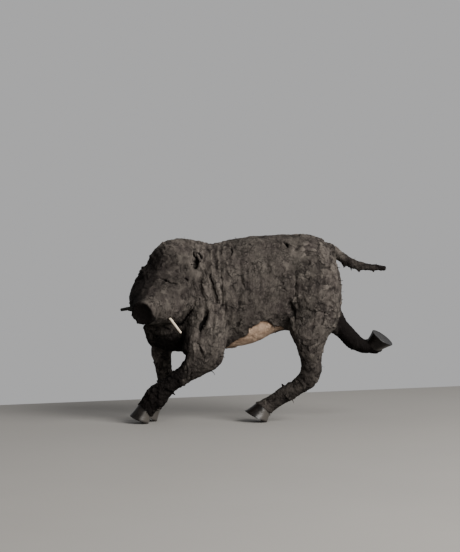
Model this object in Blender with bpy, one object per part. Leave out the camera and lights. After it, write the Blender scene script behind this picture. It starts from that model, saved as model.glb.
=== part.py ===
"""A charging boar in papier-mache, standing on three of its four hooves, with two thin tusks.

The figure faces -X and its left side faces -Y. The ground is z = 0, and the origin lies under the
middle of its outer box. The free form is squared up on a grid, as a sculptor would: its stations are
given in squares, and a square is a share of the figure's length. Hooves and tusks have sizes of
their own, in metres.
"""

import math

import bmesh
import bpy
import numpy as np
from mathutils import Matrix, Vector

# Driving dimensions
FIGURE_LENGTH = 0.360
GRID_SQUARES = 272
SQUARE = FIGURE_LENGTH / GRID_SQUARES

# A hoof is a blunt cone whose top sits back over the heel
FORE_HOOF = {"sole_radius": 0.0134, "top_radius": 0.0098, "height": 0.0205, "lean": 0.0010}
HIND_HOOF = {"sole_radius": 0.0164, "top_radius": 0.0110, "height": 0.0182, "lean": 0.0036}
FORE_TOE_LIFT = math.radians(25)
HIND_TOE_LIFT = math.radians(28.5)
HOOF_SIDES = 40
HEEL_FLAT = 0.0012

TUSK_SHOWN = 0.0242
TUSK_SOCKET = 0.007
TUSK_RADIUS = 0.0016
TUSK_TIP_RADIUS = 0.0010
TUSK_SIDES = 16

SEAT_GAP = 0.0003

# Fineness of the modelling
FORM_VOXEL = 1.25 * SQUARE
TRUNK_PASSES = 14
LIMB_PASSES = 6
BODY_TRIANGLES = 8000
TUBE_SIDES = 28
STEPS_PER_SPAN = 4

# The head's pose: turned towards the figure's left, dropped, and tilted over its own axis
HEAD_TURN = math.radians(71)
HEAD_DROP = math.radians(16)
HEAD_TILT = math.radians(12)
SNOUT = (-111, -74, 109.8)


def grid(x, y, z):
    """A point given in squares of the layout grid, in metres."""
    return Vector((x, y, z)) * SQUARE


def turned_axes(turn, drop, tilt):
    """Forward, left and up axes of a head that faces -X before it is turned, dropped and tilted."""
    forward = Vector((-math.cos(turn) * math.cos(drop), -math.sin(turn) * math.cos(drop), -math.sin(drop)))
    level_left = Vector((math.sin(turn), -math.cos(turn), 0))
    level_up = forward.cross(level_left)
    left = level_left * math.cos(tilt) - level_up * math.sin(tilt)
    up = level_up * math.cos(tilt) + level_left * math.sin(tilt)
    return forward, left, up


HEAD_FORWARD, HEAD_LEFT, HEAD_UP = turned_axes(HEAD_TURN, HEAD_DROP, HEAD_TILT)


def head(back, left, up):
    """A point of the head in squares: back from the snout's disc, to its left, and up from its axis."""
    offset = HEAD_LEFT * left + HEAD_UP * up - HEAD_FORWARD * back
    return grid(*SNOUT) + offset * SQUARE


# Stations of the trunk, from rump to breast: x, height of the middle, half height, half width
TRUNK = (
    (82.5, 128, 12, 12),
    (80.8, 128, 22, 21),
    (76, 130, 33.5, 28),
    (67, 133.5, 46.5, 33),
    (54, 137.5, 49, 35),
    (37, 139, 48, 36),
    (20, 138.5, 48.5, 37),
    (4, 133.5, 52.5, 38),
    (-13, 130, 54.5, 38),
    (-30, 127, 54, 37),
    (-46, 123.5, 54, 36),
    (-62, 119.5, 51, 33),
    (-78, 112, 42, 30),
    (-93, 102.5, 31.5, 26),
    (-107, 96, 19.5, 17),
)

# Stations of the neck, from the shoulders into the head: x, y, z, half width, half height
NECK = (
    (-36, 0, 128, 34, 50),
    (-50, 0, 131.5, 33, 47.2),
    (-62, -1, 136, 32, 44.5),
    (-73, -5, 140.5, 31, 42.5),
    (-82, -12, 143, 29, 39.5),
    (-89, -22, 142, 26, 35),
)

# Stations of the head, from the snout's disc to the nape: back, half width, top and bottom
HEAD = (
    (0, 12, 11.8, -11.8),
    (4, 12, 11.8, -11.8),
    (9, 12.6, 12, -12),
    (16, 16, 14, -15),
    (25, 22.5, 18, -18),
    (35, 28, 23, -22),
    (47, 30.5, 30, -25),
    (60, 30, 38, -27),
    (74, 27, 42.5, -28),
    (84, 21, 42, -24),
    (90, 13, 34, -14),
)

# Stations of the limbs: x, y, z, half width across the body, half depth along it
LEFT_FORELEG = (
    (-48, -18, 118, 15, 25),
    (-50, -24, 98, 14, 23),
    (-53, -28, 80, 13, 20.5),
    (-56, -29, 67, 12.5, 20.5),
    (-62, -29, 58, 11, 12.5),
    (-71.5, -28, 50, 9, 9),
    (-82, -26.5, 42.5, 8.5, 8.2),
    (-92, -24, 35, 8.5, 8.4),
    (-99.5, -21.5, 27.5, 9.2, 11),
    (-107, -19.5, 20, 8.6, 8.8),
    (-112, -18, 11, 8.4, 8.4),
)
RIGHT_FORELEG = (
    (-78, 10, 104, 15, 18),
    (-89, 14, 87, 13, 14),
    (-97.2, 16, 72, 10.5, 10.6),
    (-96, 16.5, 58, 8.5, 8.8),
    (-93.8, 16, 45, 8, 7.8),
    (-94, 13.5, 33, 7.8, 7.4),
    (-98.5, 9, 23, 8, 7.4),
    (-103.5, 5.5, 16, 7.6, 7.2),
    (-107, 4, 9, 7.4, 7.2),
)
LEFT_HIND_LEG = (
    (56, -20, 112, 17, 26),
    (51, -22.5, 95, 15, 22),
    (50.5, -23, 83, 13.5, 16.5),
    (51, -22, 72, 11, 12),
    (52, -20, 61, 10, 10),
    (52, -17.5, 51.5, 10, 10),
    (47.5, -15, 42.5, 9.5, 9.4),
    (38, -12, 35.3, 8, 8),
    (28, -9.5, 28.8, 7.8, 8.2),
    (19, -6.8, 22.5, 7.2, 7.5),
    (12, -4.5, 18.2, 7.6, 7.6),
    (6, -4, 13, 8.8, 8.8),
    (3, -4, 8, 8.8, 8.8),
)
RIGHT_HIND_LEG = (
    (58, 18, 124, 16, 22),
    (69, 20, 110, 13, 16),
    (79.5, 22, 98, 10.5, 10.5),
    (88, 23, 89.4, 8.6, 8.6),
    (97.5, 23.5, 79.4, 8, 8.8),
    (106, 23.5, 74.3, 7.5, 7),
    (113, 23.5, 73.8, 7.6, 7),
    (119, 23.3, 74.6, 8.4, 8),
    (123, 23, 76, 8.4, 8),
)
TAIL = (
    (60, 0, 170, 9, 8.5),
    (68, 0, 172, 8, 7),
    (77, 0, 169.8, 6, 4.6),
    (86, 0, 162.3, 5, 4.8),
    (94, 0, 157.8, 4.4, 4.5),
    (104, 0, 155.3, 3.8, 3.9),
    (116, 0, 153.8, 3.2, 3.1),
    (128, 0, 153.2, 2.8, 2.6),
)

# Where each heel stands, x and y, and how the raised hoof is held
LEFT_FORE_HEEL = (-108.5, -18)
RIGHT_FORE_HEEL = (-101.5, 4)
LEFT_HIND_HEEL = (8.5, -4)
RAISED_SOLE = (127, 20, 83)
RAISED_TOE = Vector((0.82, 0, -0.57)).normalized()
RAISED_RISE = Vector((-0.55, 0.27, -0.79)).normalized()

# Where each tusk leaves the head, as back, left and up, and where it points
LEFT_TUSK = (25, 20.5, -9.5)
LEFT_TUSK_HEADING = Vector((0.56, -0.45, -0.69))
RIGHT_TUSK = (25, -20, -6.5)
RIGHT_TUSK_HEADING = Vector((-0.62, 0.75, -0.12))

# Grooves, folds and pits in the skin: corners, half width and depth, in squares
BODY_LINES = (
    # Slit and folds between neck and shoulder
    (((-48.5, -32, 145), (-45.5, -35, 133), (-41.5, -36, 121)), 3.4, 3.0),
    (((-57, -31, 150), (-56, -35, 128), (-52, -38, 106)), 4, 1.8),
    (((-40, -30, 152), (-36, -36, 130), (-34, -37, 104)), 4, 1.4),
    (((-50, -20, 170), (-44, -28, 158), (-40, -33, 146)), 4, 1.2),
    # Slit behind the jaw
    (((-50, -37, 110), (-54, -38.5, 101), (-58, -38, 90)), 4, 3.2),
    # Folds down the flank, and the furrow in front of the haunch
    (((-20, -24, 170), (-18, -35, 146), (-20, -37, 116)), 4.5, 1.0),
    (((4, -22, 175), (8, -34, 152), (6, -37, 122)), 4.5, 1.0),
    (((37, -20, 178), (36, -34, 152), (36, -34, 122), (40, -31, 104)), 4, 2.0),
    (((37, 20, 178), (36, 34, 152), (36, 34, 122), (40, 31, 104)), 4, 2.0),
    (((-20, 24, 170), (-18, 35, 146), (-20, 37, 116)), 4.5, 1.2),
    # Pits in the back
    (((-27.4, -24, 171), (-27.6, -26, 166)), 2.6, 2.2),
    (((26, -20, 178), (28.5, -24, 174)), 2.8, 2.2),
    # Bends of the elbow and the hock
    (((-60, -42, 62), (-50, -40, 66), (-40, -38, 72)), 4, 1.2),
    (((42, -22, 54), (50, -28, 52), (58, -24, 48)), 3.5, 1.0),
)
HEAD_LINES = (
    # Torn stumps of the ears
    (((66, 26, 33), (71, 25, 39), (76, 22.5, 44)), 4.5, 5.0),
    (((66, -27, 31), (71, -26, 37), (76, -23.5, 42)), 4.5, 4.5),
    # Closed eyes, and the small hole behind the left one
    (((37.5, 4, 25), (38.4, 9.5, 24.5), (39.2, 16, 22.5)), 3.0, 2.0),
    (((39, -16, 22.5), (41, -21, 19.5), (43, -25, 15)), 3.0, 2.0),
    (((53, 23, 23), (54, 24, 21)), 2.8, 2.6),
    # Corners of the mouth
    (((52, 31, -7), (50, 27, -14), (48.6, 22, -19)), 3.6, 2.4),
    (((52, -31, -7), (50, -27, -14), (48.6, -22, -19)), 3.6, 2.4),
    # Hollow of the cheek behind the snout's rim
    (((12, 13.5, 4), (12, 13.5, -4), (12, 9, -11)), 4, 1.2),
)
SNOUT_DISH_RADIUS = 9.5
SNOUT_DISH_DEPTH = 1.6
SNOUT_DISH_REACH = 4

# Finish
SKIN_COLOUR = (0.09, 0.078, 0.068)
SKIN_ROUGHNESS = 0.85
HOOF_COLOUR = (0.05, 0.042, 0.036)
HOOF_ROUGHNESS = 0.5
TUSK_COLOUR = (0.62, 0.55, 0.46)
SHARP_EDGE = math.radians(35)

# Swelling masses under the skin: middle x, y, z, then radii along x, y and z
MASSES = {
    "left_haunch": ((57, -20, 121), (25, 18, 35)),
    "right_haunch": ((57, 20, 121), (25, 18, 35)),
    "left_shoulder": ((-50, -17, 112), (24, 21, 40)),
    "right_shoulder": ((-56, 16, 110), (26, 21, 36)),
    "breast": ((-86, 2, 96), (27, 24, 26)),
    "nape": ((-88, -18, 149), (22, 25, 30)),
}


def mesh_object(name, form):
    """A new object that owns the bmesh's mesh."""
    mesh = bpy.data.meshes.new(name)
    form.to_mesh(mesh)
    form.free()
    made = bpy.data.objects.new(name, mesh)
    bpy.context.scene.collection.objects.link(made)
    return made


def between(stations):
    """The stations and points in between on a Catmull-Rom curve through them."""
    rows = np.array(stations, float)
    ends = np.vstack([2 * rows[0] - rows[1], rows, 2 * rows[-1] - rows[-2]])
    found = []
    for i in range(len(rows) - 1):
        a, b, c, d = ends[i : i + 4]
        for t in np.arange(STEPS_PER_SPAN) / STEPS_PER_SPAN:
            found.append(
                0.5 * (2 * b + (c - a) * t + (2 * a - 5 * b + 4 * c - d) * t**2 + (3 * b - a - 3 * c + d) * t**3)
            )
    found.append(rows[-1])
    return np.array(found)


def loft(name, rings):
    """A closed skin over rings of equally many points, with flat ends."""
    form = bmesh.new()
    rows = [[form.verts.new(point) for point in ring] for ring in rings]
    for near, far in zip(rows, rows[1:]):
        for i in range(len(near)):
            j = (i + 1) % len(near)
            form.faces.new((near[i], near[j], far[j], far[i]))
    form.faces.new(rows[0])
    form.faces.new(rows[-1])
    bmesh.ops.recalc_face_normals(form, faces=form.faces)
    return mesh_object(name, form)


def ellipse(centre, across, along, sides=TUBE_SIDES):
    """Points round an ellipse whose half axes are two vectors."""
    angles = [math.tau * i / sides for i in range(sides)]
    return [centre + across * math.cos(a) + along * math.sin(a) for a in angles]


def sweep(name, stations, reference):
    """A tube along stations of x, y, z and two half sizes: the first along the reference axis."""
    rows = between(stations)
    middles = [grid(*row[:3]) for row in rows]
    rings = []
    for i, middle in enumerate(middles):
        heading = (middles[min(i + 1, len(middles) - 1)] - middles[max(i - 1, 0)]).normalized()
        first = (reference - heading * heading.dot(reference)).normalized()
        second = heading.cross(first)
        rings.append(ellipse(middle, first * rows[i][3] * SQUARE, second * rows[i][4] * SQUARE))
    return loft(name, rings)


def trunk():
    rows = between(TRUNK)
    rings = [
        ellipse(grid(x, 0, z), Vector((0, wide, 0)) * SQUARE, Vector((0, 0, high)) * SQUARE)
        for x, z, high, wide in rows
    ]
    return loft("trunk", rings)


def neck():
    stations = [(x, y, z, high, wide) for x, y, z, wide, high in NECK]
    return sweep("neck", stations, Vector((0, 0, 1)))


def skull():
    rows = between(HEAD)
    rings = [
        ellipse(
            head(back, 0, (top + bottom) / 2),
            HEAD_LEFT * wide * SQUARE,
            HEAD_UP * (top - bottom) / 2 * SQUARE,
        )
        for back, wide, top, bottom in rows
    ]
    return loft("skull", rings)


def mass(name, middle, radii):
    """An ellipsoid of flesh."""
    form = bmesh.new()
    bmesh.ops.create_uvsphere(form, u_segments=24, v_segments=16, radius=1)
    size = Matrix.Diagonal((*[r * SQUARE for r in radii], 1))
    bmesh.ops.transform(form, matrix=Matrix.Translation(grid(*middle)) @ size, verts=form.verts)
    return mesh_object(name, form)


def evaluated(shape):
    """A mesh with the object's modifiers applied."""
    bpy.context.view_layer.update()
    graph = bpy.context.evaluated_depsgraph_get()
    return bpy.data.meshes.new_from_object(shape.evaluated_get(graph))


def fused(name, shapes, passes):
    """One skin over overlapping closed shapes, smoothed so that they flow into each other."""
    form = bmesh.new()
    for shape in shapes:
        form.from_mesh(shape.data)
        bpy.data.objects.remove(shape)
    whole = mesh_object(name, form)
    skin = whole.modifiers.new("skin", "REMESH")
    skin.mode = "VOXEL"
    skin.voxel_size = FORM_VOXEL
    smooth = whole.modifiers.new("smooth", "SMOOTH")
    smooth.factor = 0.5
    smooth.iterations = passes
    whole.data = evaluated(whole)
    whole.modifiers.clear()
    return whole


def body_form():
    flesh = [trunk(), neck(), skull()]
    flesh += [mass(name, middle, radii) for name, (middle, radii) in MASSES.items()]
    torso = fused("torso", flesh, TRUNK_PASSES)
    across = Vector((0, 1, 0))
    limbs = [
        sweep("left_foreleg", LEFT_FORELEG, across),
        sweep("right_foreleg", RIGHT_FORELEG, across),
        sweep("left_hind_leg", LEFT_HIND_LEG, across),
        sweep("right_hind_leg", RIGHT_HIND_LEG, across),
        sweep("tail", TAIL, across),
    ]
    return fused("body", [torso, *limbs], LIMB_PASSES)


def vertex_table(mesh, field):
    found = np.empty(len(mesh.vertices) * 3, np.float32)
    mesh.vertices.foreach_get(field, found)
    return found.reshape(-1, 3).astype(float)


def distance_to_line(points, line):
    """How far each point lies from a line through the corners, in the points' own unit."""
    corners = np.array(line, float)
    nearest = np.full(len(points), np.inf)
    for start, end in zip(corners, corners[1:]):
        along = end - start
        share = np.clip((points - start) @ along / (along @ along), 0, 1)
        nearest = np.minimum(nearest, np.linalg.norm(points - start - share[:, None] * along, axis=1))
    return nearest


def press_lines(body, lines):
    """Presses grooves and pits into the skin, or raises ridges where the depth is negative."""
    points = vertex_table(body.data, "co")
    normals = vertex_table(body.data, "normal")
    squares = points / SQUARE
    depth = np.zeros(len(points))
    for line, half_width, deep in lines:
        share = np.clip(1 - (distance_to_line(squares, line) / half_width) ** 2, 0, 1)
        depth += deep * share**2
    points -= normals * depth[:, None] * SQUARE
    body.data.vertices.foreach_set("co", points.astype(np.float32).ravel())
    body.data.update()


def pressed_lines():
    """Each line's corners, half width and depth, in squares."""
    lines = list(BODY_LINES)
    for corners, half_width, deep in HEAD_LINES:
        lines.append(([head(*corner) / SQUARE for corner in corners], half_width, deep))
    return lines


def dish_snout(body):
    """Sinks the snout's disc behind a rim."""
    points = vertex_table(body.data, "co")
    offset = points / SQUARE - np.array(SNOUT, float)
    back = -offset @ np.array(HEAD_FORWARD)
    from_axis = np.linalg.norm(offset + back[:, None] * np.array(HEAD_FORWARD), axis=1)
    inside = np.clip(1 - (from_axis / SNOUT_DISH_RADIUS) ** 4, 0, 1) * (back < SNOUT_DISH_REACH)
    points -= np.array(HEAD_FORWARD) * (inside * SNOUT_DISH_DEPTH * SQUARE)[:, None]
    body.data.vertices.foreach_set("co", points.astype(np.float32).ravel())
    body.data.update()


def hoof(name, size, sole, rise, toe, grown=0):
    """A hoof on the middle of its sole, given its upward axis and the heading of its toe."""
    top = sole + rise * (size["height"] + grown) - toe * size["lean"]
    side = rise.cross(toe)
    wide = size["sole_radius"] + grown
    narrow = size["top_radius"] + grown
    rings = [
        ellipse(sole - rise * grown, toe * wide, side * wide, HOOF_SIDES),
        ellipse(top, toe * narrow, side * narrow, HOOF_SIDES),
    ]
    return loft(name, rings)


def standing_pose(size, heel, lift):
    """Sole, upward axis and toe's heading of a hoof that stands on its heel at x, y in squares."""
    toe = Vector((-math.cos(lift), 0, math.sin(lift)))
    rise = Vector((math.sin(lift), 0, math.cos(lift)))
    lowest = grid(*heel, 0) - Vector((0, 0, HEEL_FLAT))
    return lowest + toe * size["sole_radius"], rise, toe


def wear_flat(made):
    """Cuts off what reaches below the ground, so that the heel stands on a small flat."""
    form = bmesh.new()
    form.from_mesh(made.data)
    everything = [*form.verts, *form.edges, *form.faces]
    cut = bmesh.ops.bisect_plane(
        form, geom=everything, plane_co=(0, 0, 0), plane_no=(0, 0, 1), clear_inner=True
    )
    edges = [part for part in cut["geom_cut"] if isinstance(part, bmesh.types.BMEdge)]
    bmesh.ops.contextual_create(form, geom=edges)
    bmesh.ops.recalc_face_normals(form, faces=form.faces)
    form.to_mesh(made.data)
    form.free()


def tusk(name, root, heading, grown=0):
    """A slightly tapered peg that leaves the head at root and reaches down into its socket."""
    heading = heading.normalized()
    across = heading.orthogonal().normalized()
    beside = heading.cross(across)
    stations = (
        (-TUSK_SOCKET - grown, TUSK_RADIUS + grown),
        (0, TUSK_RADIUS + grown),
        (TUSK_SHOWN, TUSK_TIP_RADIUS + grown),
    )
    rings = [
        ellipse(root + heading * along, across * radius, beside * radius, TUSK_SIDES)
        for along, radius in stations
    ]
    return loft(name, rings)


def hooves_and_tusks():
    """The seated pieces, and the slightly larger shapes that their seats are cut with."""
    poses = {
        "hoof_fore_left": (FORE_HOOF, *standing_pose(FORE_HOOF, LEFT_FORE_HEEL, FORE_TOE_LIFT)),
        "hoof_fore_right": (FORE_HOOF, *standing_pose(FORE_HOOF, RIGHT_FORE_HEEL, FORE_TOE_LIFT)),
        "hoof_hind_left": (HIND_HOOF, *standing_pose(HIND_HOOF, LEFT_HIND_HEEL, HIND_TOE_LIFT)),
        "hoof_hind_right": (HIND_HOOF, grid(*RAISED_SOLE), RAISED_RISE, RAISED_TOE),
    }
    roots = {
        "tusk_left": (head(*LEFT_TUSK), LEFT_TUSK_HEADING),
        "tusk_right": (head(*RIGHT_TUSK), RIGHT_TUSK_HEADING),
    }
    pieces = [hoof(name, *pose) for name, pose in poses.items()]
    for piece in pieces:
        wear_flat(piece)
    pieces += [tusk(name, *root) for name, root in roots.items()]
    cutters = [hoof(name + "_seat", *pose, grown=SEAT_GAP) for name, pose in poses.items()]
    cutters += [tusk(name + "_seat", *root, grown=SEAT_GAP) for name, root in roots.items()]
    return pieces, cutters


def seat(body, cutters):
    """Cuts the seats of the hooves and tusks out of the body."""
    seats = bpy.data.collections.new("seats")
    bpy.context.scene.collection.children.link(seats)
    for cutter in cutters:
        bpy.context.scene.collection.objects.unlink(cutter)
        seats.objects.link(cutter)
        cutter.hide_render = True
        cutter.display_type = "WIRE"
    cut = body.modifiers.new("seats", "BOOLEAN")
    cut.operation = "DIFFERENCE"
    cut.solver = "EXACT"
    cut.operand_type = "COLLECTION"
    cut.collection = seats


def centre_on_ground(pieces, cutters):
    """Moves the figure so that the origin lies under the middle of its outer box."""
    corners = []
    for piece in pieces:
        mesh = evaluated(piece)
        corners.append(vertex_table(mesh, "co"))
        bpy.data.meshes.remove(mesh)
    corners = np.vstack(corners)
    low, high = corners.min(axis=0), corners.max(axis=0)
    shift = Vector((-(low[0] + high[0]) / 2, -(low[1] + high[1]) / 2, -low[2]))
    for shape in [*pieces, *cutters]:
        shape.data.transform(Matrix.Translation(shift))
    return shift


def dress(piece, colour, roughness):
    """Gives the piece a plain material of its own and smooth shading up to its sharp edges."""
    material = bpy.data.materials.new(piece.name)
    material.use_nodes = True
    shader = material.node_tree.nodes["Principled BSDF"]
    shader.inputs["Base Color"].default_value = (*colour, 1)
    shader.inputs["Roughness"].default_value = roughness
    piece.data.materials.append(material)
    piece.data.shade_smooth()
    piece.data.set_sharp_from_angle(angle=SHARP_EDGE)


def main():
    for thing in list(bpy.data.objects):
        bpy.data.objects.remove(thing)
    body = body_form()
    press_lines(body, pressed_lines())
    dish_snout(body)
    thin = body.modifiers.new("thin", "DECIMATE")
    thin.ratio = BODY_TRIANGLES / (2 * len(body.data.polygons))
    thin.use_collapse_triangulate = True
    pieces, cutters = hooves_and_tusks()
    seat(body, cutters)
    shift = centre_on_ground([body, *pieces], cutters)
    dress(body, SKIN_COLOUR, SKIN_ROUGHNESS)
    for piece in pieces:
        is_hoof = piece.name.startswith("hoof")
        dress(piece, HOOF_COLOUR if is_hoof else TUSK_COLOUR, HOOF_ROUGHNESS)
    return shift


OFFSET = main()
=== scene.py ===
"""The looks of a charging boar in papier-mache: crumpled skin, torn edges, hooves, tusks and fibres.

Lengths are in metres in the part's frame, unless a comment says otherwise. Pixels are places in
the 460 x 552 photograph, which are cast from the camera onto the figure.
"""

import itertools
import math

import bmesh
import bpy
import numpy as np
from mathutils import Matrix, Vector
from mathutils.bvhtree import BVHTree
from mathutils.kdtree import KDTree


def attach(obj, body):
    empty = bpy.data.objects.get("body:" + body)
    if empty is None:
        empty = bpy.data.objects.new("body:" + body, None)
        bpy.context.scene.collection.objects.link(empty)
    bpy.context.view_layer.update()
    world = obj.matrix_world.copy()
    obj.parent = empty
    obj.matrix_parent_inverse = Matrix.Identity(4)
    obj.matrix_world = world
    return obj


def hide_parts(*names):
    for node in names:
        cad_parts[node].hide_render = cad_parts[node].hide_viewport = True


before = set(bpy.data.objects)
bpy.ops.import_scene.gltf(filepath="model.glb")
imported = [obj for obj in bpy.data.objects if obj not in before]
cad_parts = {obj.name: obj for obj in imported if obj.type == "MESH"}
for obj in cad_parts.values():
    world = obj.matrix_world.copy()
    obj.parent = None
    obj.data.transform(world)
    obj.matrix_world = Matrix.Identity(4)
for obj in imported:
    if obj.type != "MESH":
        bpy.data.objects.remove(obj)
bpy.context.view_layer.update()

MM = 0.001

# The photograph's camera: level, with its focal length in pixels
PHOTO_WIDTH, PHOTO_HEIGHT = 460, 552
FOCAL_PIXELS = 1300
SENSOR_WIDTH = 36
CAMERA_PLACE = Vector((-0.03868, -1.69417, 0.19244))

# The head's own axes: forward to the snout, left and up
HEAD_TURN = math.radians(71)
HEAD_DROP = math.radians(16)
HEAD_TILT = math.radians(12)
SNOUT_PLACE = Vector((-148.53, -71.5, 145.3)) * MM

# The trunk's middle plane, and a place well off its far side
TRUNK_Y = 26.4 * MM
FAR_OUT = 0.3

# Fineness of the skin's mesh, and how often its form is smoothed
SKIN_VOXEL = 1.0 * MM
SKIN_TRIANGLES = 192000
FORM_SMOOTHING = 10

# Thickness of the skin at its torn edge over the bare belly, and the edge's rise, in millimetres
SKIN_THICKNESS = 1.1
LIP_HEIGHT = 0.6

# The snout in millimetres: radius, half width and height of its rim, radius, soft edge and depth of its
# disc, and how far back both reach
SNOUT_RIM = (14.7, 0.8, 0.5)
SNOUT_DISC = (13.9, 1.0, 0.4)
SNOUT_DEPTH = 9

# Centre lines of the forelegs, the hind legs and the tail in millimetres, from the body outwards
LIMBS = (
    ((-71, -11, 106), (-75, -12, 89), (-95, -11, 66), (-123, -5, 46), (-149, 3, 15)),
    ((-129, 48, 95), (-128, 48, 77), (-125, 47, 60), (-131, 38, 30), (-143, 32, 12)),
    ((67, -3, 126), (67, -2, 95), (68, 3, 68), (49, 10, 47), (24, 17, 30), (3, 21, 10)),
    ((91, 53, 146), (115, 57, 118), (139, 58, 98), (163, 57, 101)),
    ((101, 26, 224), (123, 26, 209), (153, 26, 204), (169, 26, 203)),
)

# What is pressed into the skin, or raised where the depth is negative: the half width and the depth in
# millimetres, then a line of pixels
TORN_EAR = (
    (2.4, 4.6, (193.4, 252.4), (194.4, 256.8)),
    (2, 3.8, (197.6, 253.2), (200.6, 255.4), (201.8, 258.8)),
    (3.9, 7.4, (195.4, 257.6), (196.6, 262), (195.2, 268.4)),
    (1.3, -2, (195.8, 251.6), (196.8, 256.4)),
    (1.6, -2.2, (199.4, 258.5), (200.4, 262), (199, 267)),
    (2.2, -1.3, (190.2, 250.6), (190.8, 260), (192.8, 270.5)),
    (2.1, -1.5, (204.8, 252), (206.2, 258.5), (204, 264.5)),
    (1.7, -1.2, (193.6, 249.2), (199, 249.6), (204, 251.6)),
)
EYE = (
    (1.7, 4, (160.2, 278.4), (165.4, 280.2), (170.2, 282.8), (176.8, 283.9)),
    (4.4, -1.6, (162, 285.6), (169, 287.8), (176, 288)),
    (3.6, -1.2, (160, 273.5), (167, 275), (174, 278)),
    (1.9, 1.3, (178, 261), (171, 266), (165, 268.5)),
    (1.7, 1.1, (171, 265.5), (174.5, 270.5), (179, 273.5)),
    (1.6, -1.1, (176, 277.5), (181, 276), (184.6, 278)),
    (1.6, 3.6, (184, 278.2), (187.4, 279.6), (188.8, 284.4)),
)
MOUTH = (
    (2, 4.4, (191.2, 310.6), (186.8, 316.8), (182.8, 322.4)),
    (3, 6.2, (176, 327), (180.4, 324), (184.6, 320)),
    (1.6, 1.5, (184, 314), (180, 318.5), (177.5, 320.5)),
    (3, 2.4, (158, 322.5), (167, 324), (176, 327)),
    (2.2, 1.8, (161, 327), (170, 329)),
    (10, -7, (140.5, 324.5), (143.5, 331), (146.5, 338), (150.5, 347)),
    (5.5, -3.4, (138.5, 322.5), (142.5, 327)),
    (3.4, -1.6, (155, 331), (163, 334), (172, 333)),
    (2.4, 1.8, (150, 329), (158, 329.5)),
)
JAW_SLIT = (
    (3.2, 6.4, (207.6, 314.2), (204.2, 321), (201.6, 326), (200.2, 331.5)),
    (2, -1.2, (211.5, 313), (208.6, 321), (206, 329)),
)
NECK = (
    (1.7, 4.2, (210.4, 274.5), (212.6, 283), (215, 291.5), (217.2, 298)),
    (2.4, -1.3, (213.5, 272), (216.5, 283), (220, 296)),
    (2.2, -1.2, (207.5, 276), (209.5, 286), (212, 297)),
    (1.7, 1, (196.6, 278.5), (199.8, 289), (205.2, 300), (207, 308)),
    (1.8, -1.4, (200, 277), (204, 287), (208, 297)),
    (2.2, -1.2, (193.5, 282), (197, 291), (200.5, 299.5)),
    (1.6, 1.6, (203, 266), (206, 276), (207.5, 284)),
    (2.4, 1.7, (219.5, 262), (222, 280), (222, 300), (219, 322)),
    (2.2, 1.8, (213.5, 303), (214.5, 316), (212, 332)),
    (2.2, -1.3, (209, 303), (210, 318), (207, 335)),
    (2.4, 1.5, (226, 300), (224, 316), (222, 330)),
)
FLANK = (
    (1.6, 3, (231, 247), (231.8, 251), (231.4, 256)),
    (1.8, 3.6, (283.8, 241.6), (286, 243.8), (287.8, 247.2)),
    (1.4, 1.5, (279.5, 240), (280.6, 244.5), (279.4, 248.5)),
    (1.3, 1.3, (265, 241), (266, 245), (265.4, 249)),
    (1.4, 2.2, (295.4, 271), (295.9, 284), (295.2, 296), (294.2, 305)),
    (2.2, -1.1, (298.6, 273), (299, 288), (298.2, 302)),
    (6.5, 4.2, (289.5, 300), (291.5, 309), (293.5, 319)),
    (2.4, 2.6, (291, 304), (292.6, 311), (293.4, 318)),
    (1.7, 1.5, (240, 274), (242, 282), (245, 290)),
    (1.4, 1.4, (270.5, 296), (274.5, 290), (279, 285)),
    (1.5, 1.2, (277, 284), (282, 288), (288, 292)),
    (1.5, 1.1, (271, 284), (276, 276), (280, 268)),
    (1.4, 1.6, (308.5, 275), (309, 280), (310.5, 284)),
    (1.6, -1, (312, 276), (318, 275), (322, 276)),
    (1.9, 2.4, (329, 268), (333, 270), (337, 275)),
    (1.8, -1.6, (327, 265.5), (332, 266.5), (337.5, 270.5)),
    (1.5, 1.7, (315.5, 308), (320, 311.5), (326, 313.5), (331, 316.5)),
    (1.8, 1.6, (300, 312), (305, 309), (312, 311)),
    (1.4, 1.5, (314, 318), (313, 324), (309.5, 328)),
    (1.4, 1.3, (300, 318), (302, 324), (305, 327)),
    (1.6, 1.3, (259, 322.4), (266, 318.6), (271, 315)),
    (1.9, 2.6, (269.2, 321.6), (271.5, 324.4), (275, 326.4)),
)
LEGS = (
    (2, 2.6, (192, 372), (190, 376), (191, 379)),
    (2, 2.2, (197, 342), (201, 350), (203, 358)),
    (2.2, -1.4, (193, 345), (195, 353), (194, 361)),
    (5, -3, (181.5, 350), (185.5, 353)),
    (2.6, -1.6, (356, 267.5), (359.5, 269), (363, 268)),
    (2.6, -2, (200.5, 346), (204.5, 352), (206.5, 359)),
    (2.4, -1.6, (188, 366), (189.5, 372), (187, 379)),
    (1.7, -1.4, (153, 392), (158, 391), (163, 394)),
    (1.6, 1.6, (149, 397.5), (154, 395.5), (160, 399)),
    (1.6, 1.7, (297, 377.5), (303, 379.5), (308, 386)),
    (1.8, -1.4, (299.5, 380.5), (304, 384.5), (304.5, 391)),
    (1.9, 1.7, (313.5, 376), (318, 378.5)),
    (1.5, -1.5, (286, 396.5), (290, 399), (293, 402)),
)
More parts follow.
